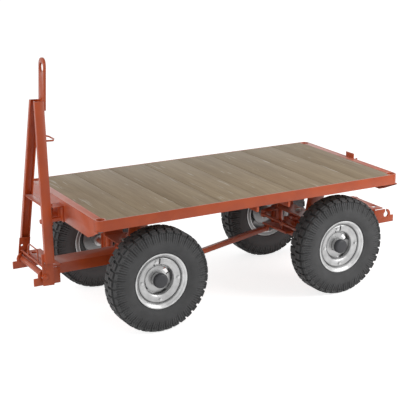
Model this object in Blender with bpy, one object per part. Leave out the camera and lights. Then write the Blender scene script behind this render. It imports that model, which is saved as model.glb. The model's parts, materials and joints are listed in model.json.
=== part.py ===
"""Four-wheel platform trailer with all-wheel steering and an upright towbar.

Metres, +Z up, floor at z = 0. The front (towbar) end points to -X and the left side to -Y.
The origin lies on the floor below the middle of the deck.
"""
import math

import bmesh
import bpy
from mathutils import Matrix, Vector

# General
GAP = 0.0003            # between pieces that touch
PIN_PLAY = 0.0005       # radial play of a pin in its bore
END_PLAY = 0.001        # play along a pin
CLEAR = 0.006           # between pieces that move past each other
PLATE = 0.005           # sheet and angle thickness
ROUND_STEPS = 12        # sides of a round bar or bore

# Deck
DECK_LENGTH = 1.500
DECK_WIDTH = 0.750
DECK_TOP = 0.534
BOARD_COUNT = 8
BOARD_THICKNESS = 0.040
BOARD_JOINT = 0.002
END_FLANGE = 0.036
END_DEPTH = 0.090
END_LIP = 0.030
CORNER_REACH = 0.372    # half length of an end beam below the sockets
CORNER_CUT = 0.093      # run of its slanted lower corners
CORNER_DEPTH = 0.004    # what is left at their outer ends
SOCKET_RADIUS = 0.024
SOCKET_BORE = 0.018
RAIL_LEDGE = 0.040
LONGERON_SPREAD = 0.185
LONGERON_FLANGE = 0.040
CROSS_ARM_SPREAD = 0.160
CROSS_ARM_WIDTH = 0.012
CROSS_ARM_DEPTH = 0.026

# Axles
WHEELBASE = 0.918
TRACK = 0.625
AXLE_WIDTH = 0.050
AXLE_LOWER_DEPTH = 0.034
AXLE_UPPER_DEPTH = 0.015
KINGPIN_SPREAD = 0.170
KINGPIN_RADIUS = 0.010
SADDLE_LENGTH = 0.090
SADDLE_FOOT = 0.110
SADDLE_HEAD = 0.150

# Knuckles
BARREL_RADIUS = 0.019
KNUCKLE_WEB = 0.010
KNUCKLE_WIDTH = 0.040
STUB_RADIUS = 0.0125
ARM_LENGTH = 0.090
ARM_THICKNESS = 0.008
ARM_RADIUS = 0.014

# Wheels
TYRE_RADIUS = 0.2265
TYRE_WIDTH = 0.112
TREAD_DEPTH = 0.008
TYRE_BULGE_RADIUS = 0.174   # where the sidewall is widest
TYRE_SHOULDER = 0.005   # rounding between sidewall and crown
CROWN_WIDTH = 0.068     # flat middle of the crown
CROWN_DROP = 0.002      # shallower tread at the shoulder
LUG_COUNT = 42
RIM_FLANGE_RADIUS = 0.1215
RIM_SEAT_RADIUS = 0.1016
RIM_WIDTH = 0.090
RIM_SHEET = 0.003
RIM_STEPS = 20
HUB_STEPS = 16
RIM_DISC_SET = 0.022    # outer disc behind the outer flange
RIM_OPENING = 0.064
HUB_FLANGE_SET = 0.040
HUB_TUBE_RADIUS = 0.026
HUB_CAP_RADIUS = 0.031
HUB_CAP_SET = 0.012     # cap end behind the outer flange
HUB_CAP_LENGTH = 0.024
HUB_WINDOW_RADIUS = 0.0125
HUB_WINDOW_RING = 0.051 # distance of the windows from the axis
HUB_WINDOW_COUNT = 4
HUB_WINDOW_TURN = 0.3   # share of the step between two windows

# Draw beams
BEAM_BOTTOM = 0.225
BEAM_TOP = 0.270
BEAM_WIDTH = 0.100
BEAM_TAIL = 0.052       # behind its pivot
KING_BOLT_RADIUS = 0.012
STEER_PLATE = 0.007
CROSS_ROD_PIN = (0.100, 0.126)    # behind and beside the pivot
TRACK_ROD_RADIUS = 0.009
TRACK_BAR_RADIUS = 0.0072
CROSS_ROD_DEPTH = 0.020
CROSS_ROD_WIDTH = 0.016
LINK_PIN_RADIUS = 0.005
LINK_PIN_TIP = 0.003    # below the rod that it holds

# Coupling heads
HEAD_REACH = 0.9325
EAR_LENGTH = 0.1165
EAR_BOTTOM = 0.215
EAR_TOP = 0.283
EAR_SPREAD = 0.129      # outer faces
EAR_THICKNESS = 0.008
EAR_STEP = 0.248
TOW_PIVOT_SET = 0.0455  # inside the ear's outer end
TOW_PIVOT_Z = 0.256
NOTCH_RADIUS = 0.0135
NOTCH_PLAY = 0.0005     # between the pivot tube and its notch
NOTCH_THROAT = 0.010
HEAD_BAR_LENGTH = 0.066
HEAD_BAR_TOP = 0.290
HEAD_HOLE_RADIUS = 0.0135
HEAD_HOLE_SPREAD = 0.080
HEAD_HOLE_SET = 0.041   # from the inner edge of the bar

# Towbar, measured along its own centre line from the pivot
TOWBAR_LEAN = math.radians(2.6)
LEG_LENGTH = 0.711
LEG_FOOT_SPREAD = 0.164     # outer half width at the pivot
LEG_HEAD_SPREAD = 0.033     # outer half width at the top
LEG_SET = 0.0163        # leg centre line behind the pivot
LEG_START = 0.058       # above the pivot
LEG_DEPTH = 0.039
LEG_FLANGE = 0.018
LEG_SHEET = 0.004
DOUBLER_WIDTH = 0.049
DOUBLER_SET = 0.0114
DOUBLER_TOP = 0.094
DOUBLER_BOTTOM = -0.036
DOUBLER_HOLE = 0.005
DOUBLER_HOLE_HEIGHT = 0.058
STOP_ROD_OFFSET = 0.0335
STOP_ROD_RADIUS = 0.004
STOP_LOOP_WIDTH = 0.110
STOP_LOOP_HEIGHT = 0.055
STOP_LOOP_RADIUS = 0.003
CROSS_BAR_HEIGHT = 0.288
CROSS_BAR_WIDTH = 0.030
HAND_LOOP_HEIGHT = 0.552
HAND_LOOP_REACH = 0.045
HAND_LOOP_RADIUS = 0.004
HAND_LOOP_BEND = 0.0135     # start of the bend before the loop's outer bar
HAND_LOOP_TAPER = 0.0286    # inward slant of the bent length
EYE_BAR_WIDTH = 0.060
EYE_BAR_THICKNESS = 0.010
EYE_BAR_START = 0.672
EYE_BAR_END = 0.886
EYE_HOLE_RADIUS = 0.020
EYE_HOLE_OFFSET = 0.040

# Catches at the deck ends
CATCH_REACH = 0.045
CATCH_WIDTH = 0.060
CATCH_TOP = 0.512
CATCH_BOTTOM = 0.437
CATCH_ROD_REACH = 0.096
CATCH_ROD_RADIUS = 0.010
CATCH_ROD_Z = 0.449
CATCH_BAR_TOP = 0.522
CATCH_BAR_WIDTH = 0.008

# Worked out from the sizes above
HALF_LENGTH = DECK_LENGTH / 2
HALF_WIDTH = DECK_WIDTH / 2
BOARD_BOTTOM = DECK_TOP - BOARD_THICKNESS
RAIL_BOTTOM = BOARD_BOTTOM - GAP - PLATE
LONGERON_TOP = BOARD_BOTTOM - GAP
LONGERON_BOTTOM = DECK_TOP - END_DEPTH
SOCKET_X = HALF_LENGTH - SOCKET_RADIUS
SOCKET_Y = HALF_WIDTH - SOCKET_RADIUS
AXLE_X = WHEELBASE / 2
WHEEL_Y = TRACK / 2
WHEEL_Z = TYRE_RADIUS * math.cos(math.pi / LUG_COUNT)
AXLE_LOWER_TOP = BEAM_BOTTOM - 2 * STEER_PLATE
AXLE_UPPER_BOTTOM = BEAM_TOP + 2 * STEER_PLATE
AXLE_UPPER_TOP = AXLE_UPPER_BOTTOM + AXLE_UPPER_DEPTH
AXLE_LOWER_BOTTOM = AXLE_LOWER_TOP - AXLE_LOWER_DEPTH
ARM_TOP = AXLE_UPPER_BOTTOM - CLEAR
ARM_BOTTOM = ARM_TOP - ARM_THICKNESS
TRACK_ROD_Z = ARM_BOTTOM - CLEAR - TRACK_ROD_RADIUS
STEER_PLATE_BOTTOM = BEAM_BOTTOM - STEER_PLATE
CROSS_ROD_TOP = STEER_PLATE_BOTTOM - CLEAR
CROSS_ROD_BOTTOM = CROSS_ROD_TOP - CROSS_ROD_DEPTH
TOW_PIVOT_X = HEAD_REACH - TOW_PIVOT_SET
PIVOT_TUBE_RADIUS = NOTCH_RADIUS - NOTCH_PLAY
LEG_SLOPE = (LEG_FOOT_SPREAD - LEG_HEAD_SPREAD) / LEG_LENGTH

PAINT = ((0.55, 0.125, 0.065, 1), 0.45, 0.0)
WOOD = ((0.33, 0.26, 0.19, 1), 0.8, 0.0)
RUBBER = ((0.045, 0.045, 0.048, 1), 0.85, 0.0)
SILVER = ((0.62, 0.63, 0.64, 1), 0.35, 0.9)
FINISHES = {"paint": PAINT, "wood": WOOD, "rubber": RUBBER, "silver": SILVER}

# Columns: name, sign along X
ENDS = (("front", -1), ("rear", 1))
# Columns: name, sign along Y
SIDES = (("left", -1), ("right", 1))


def clear_scene():
    for thing in list(bpy.data.objects):
        bpy.data.objects.remove(thing, do_unlink=True)


def finish(name):
    """Material with the colour, roughness and metallic value of a finish."""
    found = bpy.data.materials.get(name)
    if found:
        return found
    colour, roughness, metallic = FINISHES[name]
    made = bpy.data.materials.new(name)
    made.use_nodes = True
    shader = made.node_tree.nodes["Principled BSDF"]
    shader.inputs["Base Color"].default_value = colour
    shader.inputs["Roughness"].default_value = roughness
    shader.inputs["Metallic"].default_value = metallic
    made.diffuse_color = colour
    return made


def put(name, mesh, finish_name, parent=None):
    """Object from a mesh, in the frame of its parent."""
    made = bpy.data.objects.new(name, mesh)
    bpy.context.scene.collection.objects.link(made)
    mesh.materials.clear()
    mesh.materials.append(finish(finish_name))
    made.parent = parent
    return made


def pivot(name, place, parent=None):
    """Empty on a joint axis, placed in world coordinates."""
    made = bpy.data.objects.new(name, None)
    bpy.context.scene.collection.objects.link(made)
    made.parent = parent
    made.location = Vector(place) - (Vector(parent["place"]) if parent else Vector())
    made["place"] = list(place)
    return made


def close_mesh(shape, name, smooth=False):
    bmesh.ops.recalc_face_normals(shape, faces=shape.faces)
    mesh = bpy.data.meshes.new(name)
    shape.to_mesh(mesh)
    shape.free()
    if smooth:
        mesh.shade_smooth()
        mesh.set_sharp_from_angle(angle=math.radians(35))
    return mesh


def box(low, high):
    """Block between two corners."""
    shape = bmesh.new()
    bmesh.ops.create_cube(shape, size=1.0)
    size = [abs(high[i] - low[i]) for i in range(3)]
    centre = [(high[i] + low[i]) / 2 for i in range(3)]
    bmesh.ops.scale(shape, vec=size, verts=shape.verts)
    bmesh.ops.translate(shape, vec=centre, verts=shape.verts)
    return close_mesh(shape, "box")


def prism(outline, axis, low, high):
    """Closed outline in the plane across an axis, drawn out along it.

    The outline's columns are the two other axes in the order X, Y, Z.
    """
    shape = bmesh.new()
    ring = []
    for first, second in outline:
        point = [first, second]
        point.insert(axis, low)
        ring.append(shape.verts.new(point))
    face = shape.faces.new(ring)
    drawn = bmesh.ops.extrude_face_region(shape, geom=[face])
    step = [0.0, 0.0, 0.0]
    step[axis] = high - low
    moved = [part for part in drawn["geom"] if isinstance(part, bmesh.types.BMVert)]
    bmesh.ops.translate(shape, vec=step, verts=moved)
    return close_mesh(shape, "prism")


def arc(centre, radius, start, end, steps):
    """Points of an arc, angles in degrees."""
    points = []
    for i in range(steps + 1):
        angle = math.radians(start + (end - start) * i / steps)
        points.append((centre[0] + radius * math.cos(angle), centre[1] + radius * math.sin(angle)))
    return points


def rod(start, end, radius, sides=ROUND_STEPS):
    """Round bar between two points."""
    start, end = Vector(start), Vector(end)
    shape = bmesh.new()
    bmesh.ops.create_cone(shape, cap_ends=True, segments=sides, radius1=radius, radius2=radius,
                          depth=(end - start).length)
    turn = Vector((0, 0, 1)).rotation_difference(end - start).to_matrix().to_4x4()
    bmesh.ops.transform(shape, matrix=Matrix.Translation((start + end) / 2) @ turn, verts=shape.verts)
    return close_mesh(shape, "rod", smooth=True)


def bent_bar(path, radius, sides=8):
    """Round bar along a path, with mitred bends."""
    points = [Vector(point) for point in path]
    runs = [(after - before).normalized() for before, after in zip(points, points[1:])]
    across = runs[0].orthogonal().normalized()
    shape = bmesh.new()
    rings = []
    for i, point in enumerate(points):
        arriving = runs[max(i - 1, 0)]
        leaving = runs[min(i, len(runs) - 1)]
        normal = (arriving + leaving).normalized()
        second = arriving.cross(across).normalized()
        ring = []
        for k in range(sides):
            angle = 2 * math.pi * (k + 0.5) / sides
            offset = radius * (math.cos(angle) * across + math.sin(angle) * second)
            offset -= arriving * (offset.dot(normal) / arriving.dot(normal))
            ring.append(shape.verts.new(point + offset))
        rings.append(ring)
        across = arriving.rotation_difference(leaving) @ across
    for before, after in zip(rings, rings[1:]):
        for k in range(sides):
            shape.faces.new((before[k], before[(k + 1) % sides], after[(k + 1) % sides], after[k]))
    shape.faces.new(rings[0])
    shape.faces.new(rings[-1])
    return close_mesh(shape, "bent_bar", smooth=True)


def turned(profile, steps, centre=(0, 0, 0)):
    """Closed profile of (radius, distance along Y) turned about the Y axis."""
    shape = bmesh.new()
    ring = [shape.verts.new((radius, along, 0)) for radius, along in profile]
    edges = [shape.edges.new((ring[i], ring[(i + 1) % len(ring)])) for i in range(len(ring))]
    bmesh.ops.spin(shape, geom=ring + edges, cent=(0, 0, 0), axis=(0, 1, 0),
                   angle=2 * math.pi, steps=steps, use_merge=True)
    bmesh.ops.remove_doubles(shape, verts=shape.verts, dist=0.00001)
    bmesh.ops.translate(shape, vec=centre, verts=shape.verts)
    return close_mesh(shape, "turned", smooth=True)


def shape_with(name, finish_name, parent, meshes, cutters=()):
    """One closed piece: the first mesh, joined with the others, less the cutters."""
    made = put(name, meshes[0], finish_name, parent)
    for operation, others in (("UNION", meshes[1:]), ("DIFFERENCE", cutters)):
        for mesh in others:
            helper = put(name + "_" + operation.lower(), mesh, finish_name, parent)
            helper.hide_render = True
            helper.display_type = "WIRE"
            step = made.modifiers.new(operation.title(), "BOOLEAN")
            step.operation = operation
            step.solver = "EXACT"
            step.object = helper
    return made


def socket_cutters(bottom=RAIL_BOTTOM - END_DEPTH):
    """Room for the four corner sockets, from a height up."""
    cutters = []
    for _, end in ENDS:
        for _, side in SIDES:
            low = (end * SOCKET_X, side * SOCKET_Y, bottom)
            high = (end * SOCKET_X, side * SOCKET_Y, DECK_TOP + END_DEPTH)
            cutters.append(rod(low, high, SOCKET_RADIUS + GAP))
    return cutters


def make_boards():
    """Boards across the deck, between the end beams."""
    start = -HALF_LENGTH + END_FLANGE + GAP
    pitch = -2 * start / BOARD_COUNT
    half_board = HALF_WIDTH - PLATE - GAP
    for i in range(BOARD_COUNT):
        low = start + pitch * i + (BOARD_JOINT / 2 if i else 0)
        high = start + pitch * (i + 1) - (BOARD_JOINT / 2 if i < BOARD_COUNT - 1 else 0)
        board = box((low, -half_board, BOARD_BOTTOM), (high, half_board, DECK_TOP))
        cutters = socket_cutters() if i in (0, BOARD_COUNT - 1) else []
        shape_with("deck_board_%d" % (i + 1), "wood", None, [board], cutters)


def make_sockets():
    """Round stake sockets, open right through, at the deck's corners."""
    for end_name, end in ENDS:
        for side_name, side in SIDES:
            place = (end * SOCKET_X, side * SOCKET_Y)
            tube = rod((*place, RAIL_BOTTOM), (*place, DECK_TOP), SOCKET_RADIUS)
            bore = rod((*place, RAIL_BOTTOM - PLATE), (*place, DECK_TOP + PLATE), SOCKET_BORE)
            shape_with("stake_socket_%s_%s" % (end_name, side_name), "paint", None, [tube], [bore])


def make_side_rails():
    """Angle along each side: its edge level with the boards, its ledge below them."""
    for side_name, side in SIDES:
        outer = side * HALF_WIDTH
        inner = side * (HALF_WIDTH - PLATE)
        ledge = side * (HALF_WIDTH - RAIL_LEDGE)
        section = [(outer, RAIL_BOTTOM), (outer, DECK_TOP), (inner, DECK_TOP),
                   (inner, RAIL_BOTTOM + PLATE), (ledge, RAIL_BOTTOM + PLATE), (ledge, RAIL_BOTTOM)]
        reach = SOCKET_X - PLATE / 2
        angle = prism(section, 0, -reach, reach)
        shape_with("side_rail_" + side_name, "paint", None, [angle], socket_cutters())


def make_end_beams():
    """Folded beam across each deck end, its lower corners cut on the slant."""
    for end_name, end in ENDS:
        face = end * HALF_LENGTH
        back = end * (HALF_LENGTH - PLATE)
        span = SOCKET_Y - PLATE / 2
        under = RAIL_BOTTOM - GAP
        step = under - GAP / 2
        low = DECK_TOP - END_DEPTH
        foot = CORNER_REACH - CORNER_CUT
        half = [(span, DECK_TOP), (span, step), (CORNER_REACH, step),
                (CORNER_REACH, step - CORNER_DEPTH), (foot, low)]
        outline = half + [(-y, z) for y, z in reversed(half)]
        web = prism(outline, 0, min(face, back), max(face, back))
        flange = box((face, -span, DECK_TOP - PLATE),
                     (end * (HALF_LENGTH - END_FLANGE), span, DECK_TOP))
        lip = box((face, -foot, low), (end * (HALF_LENGTH - END_LIP), foot, low + PLATE))
        shape_with(end_name + "_end_beam", "paint", None, [web, flange, lip], socket_cutters(under))


def make_longerons():
    """Channel along the deck on each side of the middle, with arms out to the side rail."""
    for side_name, side in SIDES:
        web = side * LONGERON_SPREAD
        inner = side * (LONGERON_SPREAD - PLATE)
        toe = side * (LONGERON_SPREAD - LONGERON_FLANGE)
        low, high = LONGERON_BOTTOM + PLATE + GAP, LONGERON_TOP
        section = [(web, low), (web, high), (toe, high), (toe, high - PLATE), (inner, high - PLATE),
                   (inner, low + PLATE), (toe, low + PLATE), (toe, low)]
        reach = HALF_LENGTH - PLATE - GAP
        meshes = [prism(section, 0, -reach, reach)]
        arm_top = RAIL_BOTTOM - GAP
        for place in (0, 1):
            middle = place * CROSS_ARM_SPREAD
            meshes.append(box((middle - CROSS_ARM_WIDTH / 2, inner, arm_top - CROSS_ARM_DEPTH),
                              (middle + CROSS_ARM_WIDTH / 2, side * (HALF_WIDTH - PLATE), arm_top)))
        shape_with("longeron_" + side_name, "paint", None, meshes)


def make_axles():
    """Each axle: a lower and an upper beam with the kingpins between, and a saddle to the deck."""
    for end_name, end in ENDS:
        middle = end * AXLE_X
        low, high = AXLE_LOWER_BOTTOM, AXLE_LOWER_TOP
        lower = [box((middle - AXLE_WIDTH / 2, -KINGPIN_SPREAD, low),
                     (middle + AXLE_WIDTH / 2, KINGPIN_SPREAD, high))]
        upper = [box((middle - AXLE_WIDTH / 2, -KINGPIN_SPREAD, AXLE_UPPER_BOTTOM),
                     (middle + AXLE_WIDTH / 2, KINGPIN_SPREAD, AXLE_UPPER_TOP))]
        bores = []
        for _, side in SIDES:
            place = (middle, side * KINGPIN_SPREAD)
            lower.append(rod((*place, low), (*place, high), AXLE_WIDTH / 2))
            lower.append(rod((*place, low + PLATE), (*place, AXLE_UPPER_TOP + PLATE), KINGPIN_RADIUS))
            upper.append(rod((*place, AXLE_UPPER_BOTTOM), (*place, AXLE_UPPER_TOP), AXLE_WIDTH / 2))
            bores.append(rod((*place, low), (*place, AXLE_UPPER_TOP + 2 * PLATE), KINGPIN_RADIUS + GAP))
        centre = (middle, 0)
        lower.append(rod((*centre, low + PLATE), (*centre, AXLE_UPPER_TOP + PLATE), KING_BOLT_RADIUS))
        bores.append(rod((*centre, low), (*centre, AXLE_UPPER_TOP + 2 * PLATE), KING_BOLT_RADIUS + GAP))
        shape_with(end_name + "_axle_lower_beam", "paint", None, lower)
        shape_with(end_name + "_axle_upper_beam", "paint", None, upper, bores)
        make_saddle(end_name, middle)


def make_saddle(end_name, middle):
    """Folded plate from the upper beam out to the longerons, with a hole over the king bolt."""
    foot = AXLE_UPPER_TOP + GAP
    head = LONGERON_BOTTOM + PLATE
    lip = LONGERON_SPREAD
    outline = [(-lip, head), (-SADDLE_HEAD, head), (-SADDLE_FOOT, foot + PLATE),
               (SADDLE_FOOT, foot + PLATE), (SADDLE_HEAD, head), (lip, head),
               (lip, head - PLATE), (SADDLE_HEAD + PLATE, head - PLATE), (SADDLE_FOOT + PLATE, foot),
               (-SADDLE_FOOT - PLATE, foot), (-SADDLE_HEAD - PLATE, head - PLATE), (-lip, head - PLATE)]
    plate = prism(outline, 0, middle - SADDLE_LENGTH / 2, middle + SADDLE_LENGTH / 2)
    hole = rod((middle, 0, foot - PLATE), (middle, 0, foot + 2 * PLATE), KING_BOLT_RADIUS + PLATE)
    shape_with(end_name + "_saddle", "paint", None, [plate], [hole])


def make_catches():
    """Small bracket at the middle of each deck end; the front one carries a short latch rod."""
    for end_name, end in ENDS:
        face = end * (HALF_LENGTH + GAP)
        tip = end * (HALF_LENGTH + CATCH_REACH)
        half = CATCH_WIDTH / 2
        meshes = [box((face, -half, CATCH_BOTTOM + PLATE), (end * (HALF_LENGTH + PLATE), half, CATCH_TOP)),
                  box((face, -half, CATCH_TOP - PLATE), (tip, half, CATCH_TOP)),
                  box((end * (HALF_LENGTH + PLATE / 2), half - PLATE, CATCH_BOTTOM + 2 * PLATE),
                      (tip - end * GAP, half - GAP, CATCH_TOP - PLATE / 2)),
                  box((end * (HALF_LENGTH + CATCH_REACH - PLATE), -CATCH_BAR_WIDTH / 2,
                       CATCH_BOTTOM - 2 * PLATE), (tip + end * GAP, CATCH_BAR_WIDTH / 2, CATCH_BAR_TOP))]
        if end < 0:
            rod_end = end * (HALF_LENGTH + CATCH_ROD_REACH)
            meshes.append(rod((end * (HALF_LENGTH + PLATE / 2), 0, CATCH_ROD_Z),
                              (rod_end, 0, CATCH_ROD_Z), CATCH_ROD_RADIUS))
        shape_with(end_name + "_catch", "paint", None, meshes)


def make_draw_beam(end_name, end, turn):
    """Beam from the king bolt to the coupling head, with the steering plate under its tail."""
    tail = -end * BEAM_TAIL
    nose = end * (HEAD_REACH - EAR_LENGTH + PLATE - AXLE_X)
    half = BEAM_WIDTH / 2
    body = box((tail, -half, BEAM_BOTTOM), (nose, half, BEAM_TOP))
    washer_low = rod((0, 0, AXLE_LOWER_TOP + GAP), (0, 0, BEAM_BOTTOM + PLATE), half - PLATE)
    washer_high = rod((0, 0, BEAM_TOP - PLATE), (0, 0, AXLE_UPPER_BOTTOM - GAP), half - PLATE)
    behind, beside = CROSS_ROD_PIN
    pin = (-end * behind, end * beside)
    margin = ARM_RADIUS
    outline = [(-end * margin, 0), (pin[0] + end * margin, pin[1] + end * margin),
               (pin[0] - end * margin, pin[1] + end * margin),
               (-end * (ARM_LENGTH + margin), -end * half), (-end * margin, -end * half)]
    plate = prism(outline, 2, STEER_PLATE_BOTTOM, BEAM_BOTTOM + PLATE / 2)
    tail_pin = rod((-end * ARM_LENGTH, 0, BEAM_BOTTOM),
                   (-end * ARM_LENGTH, 0, TRACK_ROD_Z + TRACK_ROD_RADIUS + LINK_PIN_TIP), LINK_PIN_RADIUS)
    rod_pin_low = CROSS_ROD_BOTTOM - LINK_PIN_TIP if end < 0 else CROSS_ROD_TOP + END_PLAY
    rod_pin = rod((*pin, rod_pin_low), (*pin, BEAM_BOTTOM), LINK_PIN_RADIUS)
    bore = rod((0, 0, AXLE_LOWER_TOP - PLATE), (0, 0, AXLE_UPPER_BOTTOM + PLATE),
               KING_BOLT_RADIUS + PIN_PLAY)
    shape_with(end_name + "_draw_beam", "paint", turn,
               [body, washer_low, washer_high, plate, tail_pin, rod_pin], [bore])


def ear_outline(end):
    """Side view of an ear: open keyhole notch, round horn and low step at its outer end."""
    pivot_x = TOW_PIVOT_X - AXLE_X
    outer = HEAD_REACH - AXLE_X
    inner = outer - EAR_LENGTH
    horn = EAR_TOP - TOW_PIVOT_Z
    throat = math.degrees(math.asin(NOTCH_THROAT / 2 / NOTCH_RADIUS))
    step_angle = math.degrees(math.asin((EAR_STEP - TOW_PIVOT_Z) / horn))
    rim_angle = math.degrees(math.acos(NOTCH_THROAT / 2 / horn))
    points = [(inner, EAR_BOTTOM), (outer, EAR_BOTTOM), (outer, EAR_STEP)]
    points += arc((pivot_x, TOW_PIVOT_Z), horn, step_angle, rim_angle, 8)
    points += arc((pivot_x, TOW_PIVOT_Z), NOTCH_RADIUS, 90 - throat, -270 + throat, 16)
    points += [(pivot_x - NOTCH_THROAT / 2, EAR_TOP), (inner, EAR_TOP)]
    return [(end * x, z) for x, z in points]


def make_head(end_name, end, turn):
    """Coupling head: a cross bar with two holes between two notched ears."""
    inner = HEAD_REACH - EAR_LENGTH - AXLE_X
    for side_name, side in SIDES:
        low, high = sorted((side * EAR_SPREAD, side * (EAR_SPREAD - EAR_THICKNESS)))
        ear = prism(ear_outline(end), 1, low, high)
        shape_with("%s_ear_%s" % (end_name, side_name), "paint", turn, [ear])
    half = EAR_SPREAD - EAR_THICKNESS - GAP
    start = end * (inner - PLATE * 2)
    stop = end * (inner - PLATE * 2 + HEAD_BAR_LENGTH)
    back = end * (inner + 2 * PLATE)
    top = box((start, -half, HEAD_BAR_TOP - PLATE), (stop, half, HEAD_BAR_TOP))
    web = box((end * (inner + PLATE + GAP), -half, BEAM_BOTTOM), (back, half, HEAD_BAR_TOP - PLATE / 2))
    holes = []
    for _, side in SIDES:
        place = (end * (inner - PLATE * 2 + HEAD_HOLE_SET), side * HEAD_HOLE_SPREAD)
        holes.append(rod((*place, HEAD_BAR_TOP - 2 * PLATE), (*place, HEAD_BAR_TOP + PLATE),
                         HEAD_HOLE_RADIUS))
    shape_with(end_name + "_head_bar", "paint", turn, [top, web], holes)


def leg_spread(height):
    """Outer half width of the towbar at a distance from the pivot along the bar."""
    return LEG_FOOT_SPREAD - LEG_SLOPE * height


def make_towbar(parent):
    """Upright towbar in its own frame: Z along the bar, X towards the deck."""
    place = (-TOW_PIVOT_X, 0, TOW_PIVOT_Z)
    hinge = pivot("towbar_axis", place, parent)
    hinge.rotation_euler = (0, TOWBAR_LEAN, 0)
    for side_name, side in SIDES:
        make_leg(side_name, side, hinge)
    half = leg_spread(0) - LEG_FLANGE + LEG_SHEET
    tube = rod((0, -half, 0), (0, half, 0), PIVOT_TUBE_RADIUS)
    shape_with("towbar_pivot_tube", "paint", hinge, [tube])
    make_stop_rod(hinge)
    make_towbar_bars(hinge)


def make_leg(side_name, side, hinge):
    """Channel open to the middle, closed at its foot by a drilled doubler plate."""
    front, back = LEG_SET - LEG_DEPTH / 2, LEG_SET + LEG_DEPTH / 2

    def slab(outer, inner, x_low, x_high, z_low, z_high):
        """Plate that follows the leg's slant, between two offsets from its outer face."""
        outline = [(side * (leg_spread(z) - offset), z)
                   for offset, z in ((outer, z_low), (outer, z_high), (inner, z_high), (inner, z_low))]
        return prism(outline, 0, x_low, x_high)

    web = slab(0, LEG_SHEET, front, back, LEG_START, LEG_LENGTH)
    meshes = [web]
    for low in (front, back - LEG_SHEET):
        meshes.append(slab(LEG_SHEET / 2, LEG_FLANGE, low, low + LEG_SHEET, LEG_START, LEG_LENGTH))
    meshes.append(slab(LEG_FLANGE - GAP, LEG_FLANGE + LEG_SHEET, DOUBLER_SET - DOUBLER_WIDTH / 2,
                       DOUBLER_SET + DOUBLER_WIDTH / 2, DOUBLER_BOTTOM, DOUBLER_TOP))
    holes = []
    for height, radius in ((0, PIVOT_TUBE_RADIUS + GAP), (STOP_ROD_OFFSET, STOP_ROD_RADIUS + GAP),
                           (DOUBLER_HOLE_HEIGHT, DOUBLER_HOLE)):
        middle = side * (leg_spread(height) - LEG_FLANGE)
        holes.append(rod((0, middle - 2 * LEG_SHEET, height), (0, middle + 2 * LEG_SHEET, height), radius))
    shape_with("towbar_leg_" + side_name, "paint", hinge, meshes, holes)


def make_stop_rod(hinge):
    """Thin rod over the ears' horns, with a round-bar loop standing on it."""
    height = STOP_ROD_OFFSET
    half = leg_spread(height) - LEG_FLANGE + LEG_SHEET
    bar = rod((0, -half, height), (0, half, height), STOP_ROD_RADIUS)
    side = STOP_LOOP_WIDTH / 2
    bend = 4 * STOP_LOOP_RADIUS
    top = height + STOP_LOOP_HEIGHT
    path = [(0, -side, height), (0, -side, top - bend), (0, -side + bend, top),
            (0, side - bend, top), (0, side, top - bend), (0, side, height)]
    loop = bent_bar(path, STOP_LOOP_RADIUS)
    shape_with("towbar_stop_rod", "paint", hinge, [bar, loop])


def make_towbar_bars(hinge):
    """Cross bar, hand loop and eye bar."""
    height = CROSS_BAR_HEIGHT
    low, high = height - PLATE / 2, height + PLATE / 2
    inner = [(leg_spread(z) - LEG_SHEET - GAP, z) for z in (low, high)]
    outline = inner + [(-y, z) for y, z in reversed(inner)]
    cross = prism(outline, 0, LEG_SET - CROSS_BAR_WIDTH / 2, LEG_SET + CROSS_BAR_WIDTH / 2)
    shape_with("towbar_cross_bar", "paint", hinge, [cross])

    back = LEG_SET + LEG_DEPTH / 2 + GAP
    spread = leg_spread(HAND_LOOP_HEIGHT) - HAND_LOOP_RADIUS - LEG_SHEET
    reach = back + HAND_LOOP_REACH
    bend, narrow = reach - HAND_LOOP_BEND, spread - HAND_LOOP_TAPER
    half_path = [(back, spread), (bend, spread), (reach, narrow)]
    path = [(x, -y, HAND_LOOP_HEIGHT) for x, y in half_path]
    path += [(x, y, HAND_LOOP_HEIGHT) for x, y in reversed(half_path)]
    shape_with("towbar_hand_loop", "paint", hinge, [bent_bar(path, HAND_LOOP_RADIUS)])

    half = EYE_BAR_WIDTH / 2
    round_top = arc((0, EYE_BAR_END - half), half, 0, 180, 2 * ROUND_STEPS)
    bar = prism([(-half, EYE_BAR_START), (half, EYE_BAR_START)] + round_top, 0,
                back, back + EYE_BAR_THICKNESS)
    eye = EYE_BAR_END - EYE_HOLE_OFFSET
    hole = rod((back - PLATE, 0, eye), (back + EYE_BAR_THICKNESS + PLATE, 0, eye), EYE_HOLE_RADIUS)
    shape_with("towbar_eye_bar", "paint", hinge, [bar], [hole])


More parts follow.
